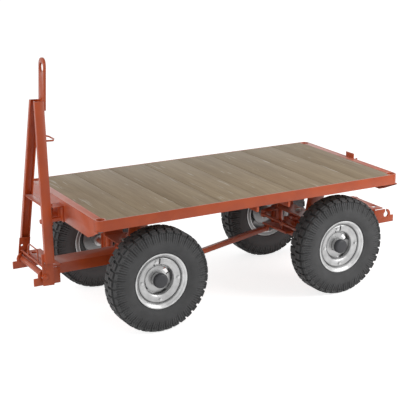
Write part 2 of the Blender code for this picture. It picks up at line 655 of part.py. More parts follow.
def make_knuckle(end_name, end, side_name, side, parent):
    """Knuckle on its kingpin: barrel, web, stub axle and steering arm."""
    place = (end * AXLE_X, side * KINGPIN_SPREAD, 0)
    turn = pivot("%s_%s_kingpin_axis" % (end_name, side_name), place, parent)
    low = AXLE_LOWER_TOP + END_PLAY
    high = AXLE_UPPER_BOTTOM - END_PLAY
    web_in = side * (AXLE_WIDTH / 2 + CLEAR)
    web_out = web_in + side * KNUCKLE_WEB
    half = KNUCKLE_WIDTH / 2
    barrel = rod((0, 0, low), (0, 0, high), BARREL_RADIUS)
    bridge = box((-half + PLATE, side * BARREL_RADIUS / 2, low + END_PLAY),
                 (half - PLATE, web_out - side * PLATE, high - END_PLAY))
    web = box((-half, web_in, AXLE_LOWER_BOTTOM), (half, web_out, high - GAP))
    stub_end = side * (WHEEL_Y - KINGPIN_SPREAD) + side * (RIM_WIDTH / 2 - HUB_CAP_SET - HUB_CAP_LENGTH)
    stub = rod((0, web_out - side * PLATE, WHEEL_Z), (0, stub_end, WHEEL_Z), STUB_RADIUS)
    arm_end = -end * ARM_LENGTH
    root = web_out - side * PLATE
    outline = [(end * (half - PLATE), root), (end * (half - PLATE), web_in - side * PLATE),
               (-end * half, -side * ARM_RADIUS), (arm_end, -side * ARM_RADIUS),
               (arm_end - end * ARM_RADIUS, 0), (arm_end, side * ARM_RADIUS),
               (-end * (half - GAP), root)]
    arm = prism(outline, 2, ARM_BOTTOM, ARM_TOP)
    bore = rod((0, 0, low - PLATE), (0, 0, high + PLATE), KINGPIN_RADIUS + PIN_PLAY)
    name = "%s_%s_knuckle" % (end_name, side_name)
    shape_with(name, "paint", turn, [web, barrel, bridge, stub, arm], [bore])
    return turn


def make_wheel(end_name, end, side_name, side, parent):
    """Tyre, rim and hub about the stub axle; the profiles run from the outer face inwards."""
    place = (end * AXLE_X, side * WHEEL_Y, WHEEL_Z)
    spin = pivot("%s_%s_wheel_axis" % (end_name, side_name), place, parent)
    name = "%s_%s_" % (end_name, side_name)
    put(name + "tyre", tyre_mesh(), "rubber", spin)
    shape_with(name + "rim", "silver", spin, rim_meshes(side))
    hub, windows = hub_meshes(side)
    shape_with(name + "hub", "silver", spin, hub, windows)


def tyre_mesh():
    """Tyre turned about Y, its crown broken into lugs."""
    half = TYRE_WIDTH / 2
    bead = RIM_SEAT_RADIUS + 2 * GAP
    flange = RIM_WIDTH / 2 - RIM_SHEET - 2 * GAP
    seat = flange - RIM_SHEET
    groove = TYRE_RADIUS - TREAD_DEPTH
    # Columns: radius, distance along the axle, drop of the groove between two lugs
    outer_half = ((bead, seat, 0), (RIM_FLANGE_RADIUS + RIM_SHEET, flange, 0),
                  (TYRE_BULGE_RADIUS, half, 0),
                  (groove - TYRE_SHOULDER, half - TYRE_SHOULDER, TREAD_DEPTH - CROWN_DROP),
                  (TYRE_RADIUS, CROWN_WIDTH / 2, TREAD_DEPTH))
    profile = list(outer_half) + [(radius, -along, drop) for radius, along, drop in reversed(outer_half)]
    shape = bmesh.new()
    rings = []
    for radius, along, drop in profile:
        steps = 2 * LUG_COUNT if drop else LUG_COUNT
        ring = []
        for i in range(steps):
            angle = 2 * math.pi * i / steps + math.pi / LUG_COUNT - math.pi / 2
            reach = radius - drop * (i % 2)
            ring.append(shape.verts.new((reach * math.cos(angle), along, reach * math.sin(angle))))
        rings.append(ring)
    for inner, outer in zip(rings, rings[1:] + rings[:1]):
        join_rings(shape, inner, outer)
    return close_mesh(shape, "tyre", smooth=True)


def join_rings(shape, first, second):
    """Faces between two rings, of which one may have twice the points of the other."""
    if len(first) > len(second):
        first, second = second, first
    share = len(second) // len(first)
    for i in range(len(first)):
        after = (i + 1) % len(first)
        middle = [second[(share * i + k) % len(second)] for k in range(share + 1)]
        shape.faces.new([first[after], first[i]] + middle)


def rim_meshes(side):
    """Pressed rim: drum between two flanges, and the outer disc with its rolled opening."""
    half = RIM_WIDTH / 2
    sheet = RIM_SHEET
    drum = [(RIM_FLANGE_RADIUS, half), (RIM_FLANGE_RADIUS, half - sheet),
            (RIM_SEAT_RADIUS, half - 2 * sheet), (RIM_SEAT_RADIUS, -half + 2 * sheet),
            (RIM_FLANGE_RADIUS, -half + sheet), (RIM_FLANGE_RADIUS, -half),
            (RIM_SEAT_RADIUS - sheet, -half + 2 * sheet), (RIM_SEAT_RADIUS - sheet, half - 2 * sheet)]
    face = half - RIM_DISC_SET
    wall = RIM_SEAT_RADIUS - sheet / 2
    disc = [(wall, face), (RIM_OPENING + sheet, face), (RIM_OPENING, face - sheet),
            (RIM_OPENING, face - 4 * sheet), (RIM_OPENING + sheet, face - 4 * sheet),
            (RIM_OPENING + sheet, face - sheet), (wall, face - sheet)]
    flip = [[(radius, side * along) for radius, along in profile] for profile in (drum, disc)]
    return [turned(profile, RIM_STEPS) for profile in flip]


def hub_meshes(side):
    """Hub: flange disc with round windows, tube over the stub axle and closed cap."""
    half = RIM_WIDTH / 2
    face = half - HUB_FLANGE_SET
    sheet = 2 * RIM_SHEET
    cap = half - HUB_CAP_SET
    stub = STUB_RADIUS + PIN_PLAY
    stub_end = cap - HUB_CAP_LENGTH + CLEAR
    flange = (RIM_SEAT_RADIUS - RIM_SHEET) * math.cos(math.pi / RIM_STEPS) - GAP
    profile = [(0, cap), (HUB_CAP_RADIUS - PLATE, cap), (HUB_CAP_RADIUS, cap - PLATE),
               (HUB_CAP_RADIUS, cap - HUB_CAP_LENGTH), (HUB_TUBE_RADIUS, cap - HUB_CAP_LENGTH),
               (HUB_TUBE_RADIUS, face),
               (flange, face), (flange, face - sheet),
               (HUB_TUBE_RADIUS, face - sheet), (HUB_TUBE_RADIUS, -half + CLEAR),
               (stub, -half + CLEAR), (stub, stub_end), (0, stub_end)]
    body = turned([(radius, side * along) for radius, along in profile], HUB_STEPS)
    windows = []
    for i in range(HUB_WINDOW_COUNT):
        angle = 2 * math.pi * (i + HUB_WINDOW_TURN) / HUB_WINDOW_COUNT
        x, z = HUB_WINDOW_RING * math.cos(angle), HUB_WINDOW_RING * math.sin(angle)
        windows.append(rod((x, side * (face + PLATE), z), (x, side * (face - sheet - PLATE), z),
                           HUB_WINDOW_RADIUS))
    return [body], windows


def make_track_rod(end_name, end, parent):
    """Rod between the two steering arms, with an eye at each end and one in the middle."""
    place = (end * (AXLE_X - ARM_LENGTH), -KINGPIN_SPREAD, 0)
    turn = pivot(end_name + "_track_rod_axis", place, parent)
    span = 2 * KINGPIN_SPREAD
    eye_low, eye_high = TRACK_ROD_Z - TRACK_ROD_RADIUS, TRACK_ROD_Z + TRACK_ROD_RADIUS
    meshes = [rod((0, 0, TRACK_ROD_Z), (0, span, TRACK_ROD_Z), TRACK_BAR_RADIUS)]
    for along in (0, KINGPIN_SPREAD, span):
        meshes.append(rod((0, along, eye_low), (0, along, eye_high), ARM_RADIUS))
    for along in (0, span):
        meshes.append(rod((0, along, eye_high - PLATE), (0, along, ARM_BOTTOM - GAP), ARM_RADIUS - PLATE))
    bore = rod((0, KINGPIN_SPREAD, eye_low - PLATE), (0, KINGPIN_SPREAD, eye_high + PLATE),
               LINK_PIN_RADIUS + PIN_PLAY)
    shape_with(end_name + "_track_rod", "paint", turn, meshes, [bore])


def make_cross_rod(parent):
    """Slanted bar that makes the rear draw beam steer against the front one."""
    behind, beside = CROSS_ROD_PIN
    front = Vector((-AXLE_X + behind, -beside, 0))
    rear = Vector((AXLE_X - behind, beside, 0))
    turn = pivot("cross_rod_axis", front, parent)
    run = rear - front
    across = Vector((-run.y, run.x, 0)).normalized() * (CROSS_ROD_WIDTH / 2)
    outline = [(-across).xy, (run - across).xy, (run + across).xy, across.xy]
    bar = prism(outline, 2, CROSS_ROD_BOTTOM, CROSS_ROD_TOP)
    meshes = [bar]
    bores = []
    for place in (Vector(), run):
        low = (*place.xy, CROSS_ROD_BOTTOM)
        high = (*place.xy, CROSS_ROD_TOP)
        meshes.append(rod(low, high, ARM_RADIUS))
        bores.append(rod((*place.xy, CROSS_ROD_BOTTOM - PLATE), (*place.xy, CROSS_ROD_TOP + PLATE),
                         LINK_PIN_RADIUS + PIN_PLAY))
    shape_with("cross_rod", "paint", turn, meshes, bores)


def main():
    clear_scene()
    make_boards()
    make_sockets()
    make_side_rails()
    make_end_beams()
    make_longerons()
    make_axles()
    make_catches()
    turns = {}
    for end_name, end in ENDS:
        place = (end * AXLE_X, 0, 0)
        turns[end_name] = pivot(end_name + "_steer_axis", place)
        make_draw_beam(end_name, end, turns[end_name])
        make_head(end_name, end, turns[end_name])
        for side_name, side in SIDES:
            knuckle = make_knuckle(end_name, end, side_name, side, None)
            make_wheel(end_name, end, side_name, side, knuckle)
        make_track_rod(end_name, end, None)
    make_towbar(turns["front"])
    make_cross_rod(turns["front"])


main()
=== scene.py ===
"""Looks of a four-wheel platform trailer with an upright towbar, laid out as an add-on.

Metres, +Z up, floor at z = 0. The front (towbar) end points to -X and the left side to -Y.
"""
import json
import math

import bmesh
import bpy
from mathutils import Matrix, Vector


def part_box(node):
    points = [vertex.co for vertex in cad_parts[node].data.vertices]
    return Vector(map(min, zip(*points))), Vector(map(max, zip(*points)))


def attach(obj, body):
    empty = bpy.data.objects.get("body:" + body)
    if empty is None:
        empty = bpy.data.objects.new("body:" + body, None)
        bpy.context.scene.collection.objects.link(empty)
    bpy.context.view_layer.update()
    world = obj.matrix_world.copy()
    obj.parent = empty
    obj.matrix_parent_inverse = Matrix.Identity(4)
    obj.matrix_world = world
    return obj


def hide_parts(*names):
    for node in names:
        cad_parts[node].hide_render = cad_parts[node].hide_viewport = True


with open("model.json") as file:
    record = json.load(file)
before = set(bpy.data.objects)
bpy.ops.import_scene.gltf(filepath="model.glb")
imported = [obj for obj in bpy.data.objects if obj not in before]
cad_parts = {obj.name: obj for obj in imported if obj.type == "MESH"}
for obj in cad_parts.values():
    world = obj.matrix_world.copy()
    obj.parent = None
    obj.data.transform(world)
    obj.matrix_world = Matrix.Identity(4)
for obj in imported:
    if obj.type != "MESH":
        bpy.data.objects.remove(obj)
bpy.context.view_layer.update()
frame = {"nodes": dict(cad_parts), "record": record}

bl_info = {
    "name": "Platform Trailer",
    "version": (1, 0, 0),
    "blender": (4, 5, 0),
    "location": "3D View > Sidebar > Trailer",
    "description": "Dresses the platform trailer and sets up its studio",
    "category": "Object",
}

ENDS = ("front", "rear")
SIDES = ("left", "right")
OUTWARD = {"left": -1, "right": 1}      # direction along Y, away from the trailer's middle
WHEELS = tuple((end, side) for end in ENDS for side in SIDES)
BOARDS = tuple(sorted(name for name in frame["nodes"] if name.startswith("deck_board")))
BODY_OF = {node: body for body, nodes in frame["record"]["behaviour"]["bodies"].items()
           for node in nodes}


def middle(node):
    """Centre of a node's box."""
    low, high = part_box(node)
    return Vector([(low[i] + high[i]) / 2 for i in range(3)])


class TrailerFinish(bpy.types.PropertyGroup):
    """Colours and rounded edges"""
    paint: bpy.props.FloatVectorProperty(
        name="Paint", description="Orange-red gloss paint on the steel", subtype="COLOR", size=3,
        default=(0.512, 0.078, 0.012))
    paint_dark: bpy.props.FloatVectorProperty(
        name="Paint shade", description="Dirty patches in the paint", subtype="COLOR", size=3,
        default=(0.43, 0.060, 0.009))
    wood: bpy.props.FloatVectorProperty(
        name="Wood", description="Weathered boards", subtype="COLOR", size=3,
        default=(0.388, 0.299, 0.194))
    wood_dark: bpy.props.FloatVectorProperty(
        name="Wood grain", description="Darker grain of the boards", subtype="COLOR", size=3,
        default=(0.262, 0.190, 0.112))
    rubber: bpy.props.FloatVectorProperty(
        name="Rubber", description="Tyre rubber", subtype="COLOR", size=3,
        default=(0.054, 0.054, 0.055))
    silver: bpy.props.FloatVectorProperty(
        name="Silver", description="Silver paint of the rims", subtype="COLOR", size=3,
        default=(0.68, 0.68, 0.68))
    cap: bpy.props.FloatVectorProperty(
        name="Hub cap", description="Dark grey cap over the hub", subtype="COLOR", size=3,
        default=(0.045, 0.045, 0.05))
    zinc: bpy.props.FloatVectorProperty(
        name="Zinc", description="Plated bolts and nuts", subtype="COLOR", size=3,
        default=(0.48, 0.47, 0.44))
    edge: bpy.props.FloatProperty(
        name="Steel edge", description="Rounding of cut and folded steel edges", unit="LENGTH",
        default=0.0012, min=0.0002, max=0.003)
    board_edge: bpy.props.FloatProperty(
        name="Board edge", description="Rounding of the boards' edges", unit="LENGTH",
        default=0.0006, min=0.0003, max=0.005)


class TrailerTyre(bpy.types.PropertyGroup):
    """Tread of the tyres"""
    pitches: bpy.props.IntProperty(
        name="Tread pitches", description="Blocks in one row around the tyre",
        default=38, min=30, max=60)
    steps: bpy.props.IntProperty(
        name="Steps in a pitch", description="Faces around the tyre in one tread pitch",
        default=9, min=6, max=12)
    block_steps: bpy.props.IntProperty(
        name="Steps in a block", description="Faces of a pitch that belong to the block",
        default=7, min=3, max=10)
    tread_depth: bpy.props.FloatProperty(
        name="Tread depth", description="Height of the blocks", unit="LENGTH", default=0.0092)
    rib_depth: bpy.props.FloatProperty(
        name="Rib depth", description="Height of the ribs on the shoulders", unit="LENGTH",
        default=0.0030)
    taper: bpy.props.FloatProperty(
        name="Block taper", description="Slope of the blocks' flanks", unit="LENGTH",
        default=0.0011)


class TrailerStage(bpy.types.PropertyGroup):
    """Camera"""
    azimuth: bpy.props.FloatProperty(
        name="Azimuth", description="Camera's turn about the trailer", default=-29.719)
    elevation: bpy.props.FloatProperty(
        name="Elevation", description="Camera's height angle", default=16.541)
    distance: bpy.props.FloatProperty(
        name="Distance", description="Camera to target", unit="LENGTH", default=5.1877)
    target: bpy.props.FloatProperty(
        name="Target height", description="Height that the camera looks at", unit="LENGTH",
        default=0.3851)
    lens: bpy.props.FloatProperty(
        name="Lens", description="Focal length in millimetres on a 36 mm sensor", default=98.197)
    shift: bpy.props.FloatProperty(
        name="Shift", description="Sideways shift of the frame", default=-0.017)


def settings():
    """The three groups of settings."""
    scene = bpy.context.scene
    return scene.trailer_finish, scene.trailer_tyre, scene.trailer_stage


# Work with Blender's operators


def object_mode():
    if bpy.context.object and bpy.context.object.mode != "OBJECT":
        bpy.ops.object.mode_set(mode="OBJECT")


def deselect():
    object_mode()
    bpy.ops.object.select_all(action="DESELECT")


def pick(piece):
    """Makes one piece the only selected object and the active one."""
    deselect()
    piece.select_set(True)
    bpy.context.view_layer.objects.active = piece


def edit(piece):
    """Edit mode on one piece, with nothing of its mesh selected."""
    pick(piece)
    bpy.ops.object.mode_set(mode="EDIT")
    bpy.ops.mesh.select_all(action="DESELECT")


def select_points(piece, test):
    """Selects the points that pass a test, in edit mode."""
    shape = bmesh.from_edit_mesh(piece.data)
    for vertex in shape.verts:
        vertex.select_set(test(vertex))
    bmesh.update_edit_mesh(piece.data)


def select_faces(piece, test):
    """Selects the faces whose centre passes a test, in edit mode."""
    shape = bmesh.from_edit_mesh(piece.data)
    for face in shape.faces:
        face.select_set(test(face.calc_center_median()))
    bmesh.update_edit_mesh(piece.data)


def apply_modifier(piece, kind, **values):
    """Adds a modifier, sets its values and applies it."""
    pick(piece)
    step = piece.modifiers.new(kind.title(), kind)
    for name, value in values.items():
        setattr(step, name, value)
    bpy.ops.object.modifier_apply(modifier=step.name)


def smooth(piece, angle=32):
    """Smooth shading over edges that turn by less than an angle in degrees."""
    pick(piece)
    bpy.ops.object.shade_smooth_by_angle(angle=math.radians(angle))


def settle(piece):
    """Puts a piece's place, turn and size into its mesh."""
    pick(piece)
    bpy.ops.object.transform_apply(location=True, rotation=True, scale=True)


def join(pieces, name):
    """One object from several."""
    deselect()
    for piece in pieces:
        piece.select_set(True)
    bpy.context.view_layer.objects.active = pieces[0]
    bpy.ops.object.join()
    made = bpy.context.view_layer.objects.active
    made.name = name
    return made


def copy_of(piece, name):
    """Copy with its own mesh."""
    pick(piece)
    bpy.ops.object.duplicate(linked=False)
    made = bpy.context.view_layer.objects.active
    made.name = name
    return made


SPIN_MERGE = 0.00002    # distance up to which points of a spun profile are merged


def turned(name, profile, centre, steps, closed=True):
    """Profile of (radius, distance along Y) spun about the Y axis through a centre."""
    deselect()
    bpy.ops.mesh.primitive_plane_add(size=0.01, location=(0, 0, 0))
    piece = bpy.context.object
    piece.name = name
    bpy.ops.object.mode_set(mode="EDIT")
    bpy.ops.mesh.select_mode(type="VERT")
    bpy.ops.mesh.select_all(action="SELECT")
    bpy.ops.mesh.merge(type="CENTER")
    points = [Vector((centre[0] + radius, centre[1] + along, centre[2]))
              for radius, along in profile]
    bpy.ops.transform.translate(value=points[0])
    for before, after in zip(points, points[1:]):
        bpy.ops.mesh.extrude_region_move(TRANSFORM_OT_translate={"value": after - before})
    if closed:
        select_points(piece, lambda vertex: len(vertex.link_edges) == 1)
        bpy.ops.mesh.edge_face_add()
    bpy.ops.mesh.select_all(action="SELECT")
    bpy.ops.mesh.spin(steps=steps, angle=2 * math.pi, center=centre, axis=(0, 1, 0))
    bpy.ops.mesh.select_all(action="SELECT")
    bpy.ops.mesh.remove_doubles(threshold=SPIN_MERGE)
    bpy.ops.mesh.normals_make_consistent(inside=False)
    bpy.ops.object.mode_set(mode="OBJECT")
    return piece


def block(name, low, high, edge, segments=2):
    """Block between two corners with rounded edges."""
    deselect()
    centre = [(low[i] + high[i]) / 2 for i in range(3)]
    bpy.ops.mesh.primitive_cube_add(size=1, location=centre)
    piece = bpy.context.object
    piece.name = name
    piece.scale = [abs(high[i] - low[i]) for i in range(3)]
    settle(piece)
    bpy.ops.object.mode_set(mode="EDIT")
    bpy.ops.mesh.select_all(action="SELECT")
    bpy.ops.mesh.bevel(offset=edge, segments=segments, affect="EDGES")
    bpy.ops.object.mode_set(mode="OBJECT")
    return piece


def cut(piece, low, high, edge, turn, centre):
    """Cuts a block out of a piece, after turning it about Y by degrees and moving it."""
    cutter = block("cutter", low, high, edge)
    cutter.rotation_euler = (0, math.radians(turn), 0)
    cutter.location = centre
    settle(cutter)
    apply_modifier(piece, "BOOLEAN", operation="DIFFERENCE", solver="EXACT", object=cutter)
    bpy.data.objects.remove(cutter, do_unlink=True)


# A bolt's measures: radii and insets by the width across flats, the others by the height
WASHER_RADIUS, WASHER_HEIGHT = 0.62, 0.18
HEAD_RADIUS, HEAD_HEIGHT = 0.577, 0.84
CHAMFER_INSET, CHAMFER_HEIGHT = 0.07, 0.05


def bolt(name, place, direction, across, height):
    """Hexagon head with a chamfered top on a round washer face."""
    place, direction = Vector(place), Vector(direction).normalized()
    turn = Vector((0, 0, 1)).rotation_difference(direction).to_euler()
    deselect()
    bpy.ops.mesh.primitive_cylinder_add(
        vertices=24, radius=across * WASHER_RADIUS, depth=height * WASHER_HEIGHT,
        location=place + direction * height * WASHER_HEIGHT / 2, rotation=turn)
    washer = bpy.context.object
    settle(washer)
    bpy.ops.mesh.primitive_cylinder_add(
        vertices=6, radius=across * HEAD_RADIUS, depth=height * HEAD_HEIGHT,
        location=place + direction * height * (1 - HEAD_HEIGHT / 2), rotation=turn)
    head = bpy.context.object
    settle(head)
    top = place + direction * height * (1 - CHAMFER_HEIGHT)
    edit(head)
    bpy.ops.mesh.select_mode(type="FACE")
    select_faces(head, lambda centre: (centre - top).dot(direction) > 0)
    bpy.ops.mesh.inset(thickness=across * CHAMFER_INSET, depth=height * CHAMFER_HEIGHT)
    bpy.ops.object.mode_set(mode="OBJECT")
    return join([head, washer], name)


# Materials

SHEEN_ROUGHNESS = 0.35


def new_material(name, colour, roughness, metallic=0.0, sheen=0.0):
    """Principled material with its fixed values on the shader's own sockets."""
    made = bpy.data.materials.new(name)
    made.use_nodes = True
    shader = made.node_tree.nodes["Principled BSDF"]
    shader.inputs["Base Color"].default_value = (*colour, 1)
    shader.inputs["Roughness"].default_value = roughness
    shader.inputs["Metallic"].default_value = metallic
    if sheen:
        shader.inputs["Sheen Weight"].default_value = sheen
        shader.inputs["Sheen Roughness"].default_value = SHEEN_ROUGHNESS
    return made, made.node_tree.nodes, made.node_tree.links, shader


def noise_on(nodes, links, scale, detail, stretch=(1, 1, 1), distortion=0.0, seed=None):
    """Noise on Object coordinates, stretched by a factor along each axis."""
    coordinates = nodes.new("ShaderNodeTexCoord")
    mapping = nodes.new("ShaderNodeMapping")
    mapping.inputs["Scale"].default_value = stretch
    noise = nodes.new("ShaderNodeTexNoise")
    if seed is not None:
        noise.noise_dimensions = "4D"
        noise.inputs["W"].default_value = seed
    noise.inputs["Scale"].default_value = scale
    noise.inputs["Detail"].default_value = detail
    noise.inputs["Distortion"].default_value = distortion
    links.new(coordinates.outputs["Object"], mapping.inputs["Vector"])
    links.new(mapping.outputs["Vector"], noise.inputs["Vector"])
    return noise.outputs["Fac"]


def ramp_on(nodes, links, source, stops):
    """Colour ramp with stops of (position, colour)."""
    ramp = nodes.new("ShaderNodeValToRGB")
    for stop, (position, colour) in zip(ramp.color_ramp.elements, stops):
        stop.position = position
        stop.color = (*colour, 1)
    links.new(source, ramp.inputs["Fac"])
    return ramp.outputs["Color"]


def mix_on(nodes, links, factor, first, second, blend_type="MIX"):
    """Mix of two colours. The factor and both colours are sockets or fixed values."""
    mix = nodes.new("ShaderNodeMix")
    mix.data_type = "RGBA"
    mix.blend_type = blend_type
    for name, value in (("Factor", factor), ("A", first), ("B", second)):
        if isinstance(value, bpy.types.NodeSocket):
            links.new(value, mix.inputs[name])
        else:
            mix.inputs[name].default_value = value
    return mix.outputs["Result"]


def painted_light_and_shade_on(nodes, links, light_and_shade_layer, plain_colour, colour):
    """Painted light and shade over a colour, by the piece's own attribute."""
    share = nodes.new("ShaderNodeAttribute")
    share.attribute_name = light_and_shade_layer
    return mix_on(nodes, links, share.outputs["Fac"], plain_colour, (*colour, 1))


def bump_on(nodes, links, shader, source, strength, distance):
    """Bumps from a noise."""
    bump = nodes.new("ShaderNodeBump")
    bump.inputs["Strength"].default_value = strength
    bump.inputs["Distance"].default_value = distance
    links.new(source, bump.inputs["Height"])
    links.new(bump.outputs["Normal"], shader.inputs["Normal"])


def roughness_on(nodes, links, shader, source, low, high):
    """Roughness in a range from a noise between 0 and 1."""
    map_range = nodes.new("ShaderNodeMapRange")
    map_range.inputs["To Min"].default_value = low
    map_range.inputs["To Max"].default_value = high
    links.new(source, map_range.inputs["Value"])
    links.new(map_range.outputs["Result"], shader.inputs["Roughness"])


def paint_material():
    """Gloss paint with faint dirt and orange peel."""
    finish = settings()[0]
    made, nodes, links, shader = new_material("orange_paint", finish.paint, 0.42, sheen=0.30)
    patches = noise_on(nodes, links, scale=9.0, detail=6.0)
    colour = ramp_on(nodes, links, patches, ((0.34, finish.paint_dark), (0.58, finish.paint)))
    links.new(colour, shader.inputs["Base Color"])
    grime = noise_on(nodes, links, scale=38.0, detail=4.0)
    roughness_on(nodes, links, shader, grime, low=0.24, high=0.46)
    peel = noise_on(nodes, links, scale=420.0, detail=2.0)
    bump_on(nodes, links, shader, peel, strength=0.12, distance=0.0006)
    return made


# Wood: the noises' stretch along X, Y and Z, and two waves of (size, step) for the boards' tones
BAND_STRETCH = (22.0, 1.3, 22.0)
FIBRE_STRETCH = (240.0, 9.0, 240.0)
SCRATCH_STRETCH = (82.0, 5.5, 82.0)
BOARD_TONES = ((0.03, 2.4), (0.02, 5.1))
BOARD_SEED = 3.7
STREAK_COLOUR = (0.72, 0.70, 0.68)
STREAK_SHARE = 0.52
SCRATCH_COLOUR = (0.62, 0.57, 0.50)
SCRATCH_SHARE = 0.66


def wood_material(name, index):
    """Planed board with grain along Y, its own tone, its own stretch of grain and scratches."""
    finish = settings()[0]
    made, nodes, links, shader = new_material(name, finish.wood, 0.78, sheen=0.13)
    tone = sum((size * math.sin(index * step) for size, step in BOARD_TONES), 1.0)
    light = [min(channel * tone, 1) for channel in finish.wood]
    dark = [channel * tone for channel in finish.wood_dark]
    bands = noise_on(nodes, links, 1.0, 5.0, BAND_STRETCH, distortion=0.9,
                     seed=index * BOARD_SEED)
    grain = ramp_on(nodes, links, bands, ((0.28, dark), (0.66, light)))
    fibre = noise_on(nodes, links, 1.0, 8.0, FIBRE_STRETCH)
    streaks = ramp_on(nodes, links, fibre, ((0.36, STREAK_COLOUR), (0.60, (1, 1, 1))))
    planed = mix_on(nodes, links, STREAK_SHARE, grain, streaks, "MULTIPLY")
    scratches = noise_on(nodes, links, 1.0, 3.0, SCRATCH_STRETCH, distortion=0.6)
    pale = ramp_on(nodes, links, scratches, ((0.645, (0, 0, 0)), (0.715, (SCRATCH_SHARE,) * 3)))
    worn = mix_on(nodes, links, pale, planed, (*SCRATCH_COLOUR, 1))
    links.new(worn, shader.inputs["Base Color"])
    roughness_on(nodes, links, shader, bands, low=0.68, high=0.88)
    bump_on(nodes, links, shader, fibre, strength=0.35, distance=0.0015)
    return made


def rubber_material():
    """Tyre rubber with dust in patches, painted light on the inner sides by the piece's
    attribute, and a fine grain.
    """
    finish = settings()[0]
    made, nodes, links, shader = new_material("tyre_rubber", finish.rubber, 0.72)
    dust_and_painted_light = noise_on(nodes, links, scale=14.0, detail=6.0)
    dusty = [channel * 1.5 + 0.006 for channel in finish.rubber]
    worn = ramp_on(nodes, links, dust_and_painted_light, ((0.40, finish.rubber), (0.70, dusty)))
    roughness_on(nodes, links, shader, dust_and_painted_light, low=0.60, high=0.85)
    # Painted light: lighter rubber on the inner sides, by the piece's attribute
    colour = painted_light_and_shade_on(nodes, links, "dust_and_painted_light", worn, (0.115, 0.115, 0.118))
    links.new(colour, shader.inputs["Base Color"])
    grain = noise_on(nodes, links, scale=900.0, detail=2.0)
    bump_on(nodes, links, shader, grain, strength=0.15, distance=0.0004)
    return made


def silver_material():
    """Silver paint over pressed steel, with painted shade in its corners, grooves and recesses.
    """
    finish = settings()[0]
    made, nodes, links, shader = new_material("silver_paint", finish.silver, 0.33, metallic=0.75)
    wear = noise_on(nodes, links, scale=30.0, detail=5.0)
    dull = [channel * 0.80 for channel in finish.silver]
    worn = ramp_on(nodes, links, wear, ((0.36, dull), (0.60, finish.silver)))
    # Painted shade: near black wherever the piece's attribute marks corners, grooves and recesses
    colour = painted_light_and_shade_on(nodes, links, "painted_shade", worn, (0.05, 0.05, 0.05))
    links.new(colour, shader.inputs["Base Color"])
    roughness_on(nodes, links, shader, wear, low=0.26, high=0.46)
    ripple = noise_on(nodes, links, scale=70.0, detail=2.0)
    bump_on(nodes, links, shader, ripple, strength=0.10, distance=0.002)
    return made


def cap_material():
    """Dark grey moulded cap."""
    finish = settings()[0]
    made, nodes, links, shader = new_material("dark_cap", finish.cap, 0.5)
    grain = noise_on(nodes, links, scale=600.0, detail=2.0)
    roughness_on(nodes, links, shader, grain, low=0.42, high=0.6)
    bump_on(nodes, links, shader, grain, strength=0.10, distance=0.0004)
    return made


def zinc_material():
    """Dull zinc plating on bolts and nuts."""
    finish = settings()[0]
    made, nodes, links, shader = new_material("zinc_plating", finish.zinc, 0.42, metallic=0.9)
    spots = noise_on(nodes, links, scale=160.0, detail=4.0)
    roughness_on(nodes, links, shader, spots, low=0.34, high=0.56)
    return made


def material(name):
    """Shared material by name, made once."""
    makers = {"orange_paint": paint_material, "tyre_rubber": rubber_material,
              "silver_paint": silver_material, "dark_cap": cap_material,
              "zinc_plating": zinc_material}
    return bpy.data.materials.get(name) or makers[name]()


def dress(piece, finish_material, body, slot, *nodes):
    """Gives a piece its material, its body and the nodes that it stands for."""
    piece.data.materials.clear()
    piece.data.materials.append(finish_material)
    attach(piece, body)
    if nodes:
        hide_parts(*nodes)


def table_value(table, at):
    """Value between the rows of a table of (place, value)."""
    for (low, at_low), (high, at_high) in zip(table, table[1:]):
        if low <= at < high:
            return at_low + (at_high - at_low) * (at - low) / (high - low)
    return table[-1][1]


def mark_painted_light_and_shade(piece, light_and_shade_layer, centre, table, inner_table=None, inner_way=0, inner_from=0.0):
    """Writes each point's share of painted light and shade, from tables of (distance from the
    axis, share).

    The inner table is for what lies beyond a depth towards the trailer's middle. A copy of a
    marked piece already has the attribute, which is written again.
    """
    values = []
    for vertex in piece.data.vertices:
        radius = math.hypot(vertex.co.x - centre.x, vertex.co.z - centre.z)
        inside = inner_table and inner_way * (vertex.co.y - centre.y) > inner_from
        values.append(table_value(inner_table if inside else table, radius))
    attributes = piece.data.attributes
    layer = attributes.get(light_and_shade_layer) or attributes.new(light_and_shade_layer, "FLOAT", "POINT")
    layer.data.foreach_set("value", values)


NODE_MERGE = 0.00001    # distance up to which the loose triangles of a node are joined
FLAT_ANGLE = 0.5        # degrees between faces that become one
ROUNDED_ANGLE = 42      # degrees from which an edge is rounded


def softened(node, width):
    """Copy of a CAD node with clean flat faces and rounded edges."""
    piece = copy_of(frame["nodes"][node], node + "_skin")
    edit(piece)
    bpy.ops.mesh.select_all(action="SELECT")
    bpy.ops.mesh.remove_doubles(threshold=NODE_MERGE)
    bpy.ops.mesh.select_all(action="SELECT")
    bpy.ops.mesh.dissolve_limited(angle_limit=math.radians(FLAT_ANGLE))
    bpy.ops.object.mode_set(mode="OBJECT")
    apply_modifier(piece, "BEVEL", width=width, segments=2, limit_method="ANGLE",
                   angle_limit=math.radians(ROUNDED_ANGLE), harden_normals=False,
                   use_clamp_overlap=True)
    smooth(piece)
    return piece


# Pieces


BORE_PLACE = {"front": -0.459, "rear": 0.459}
BORE_REACH = 0.0145     # radius up to which the bore of a draw beam is opened
BORE_GROWTH = 1.05
ROD_EXTRA = 0.0045      # depth of the cross rod below the CAD rod
CATCH_BACK = ((0.7503, -0.030, 0.500), (0.7558, 0.030, 0.555))      # plate on the rear catch


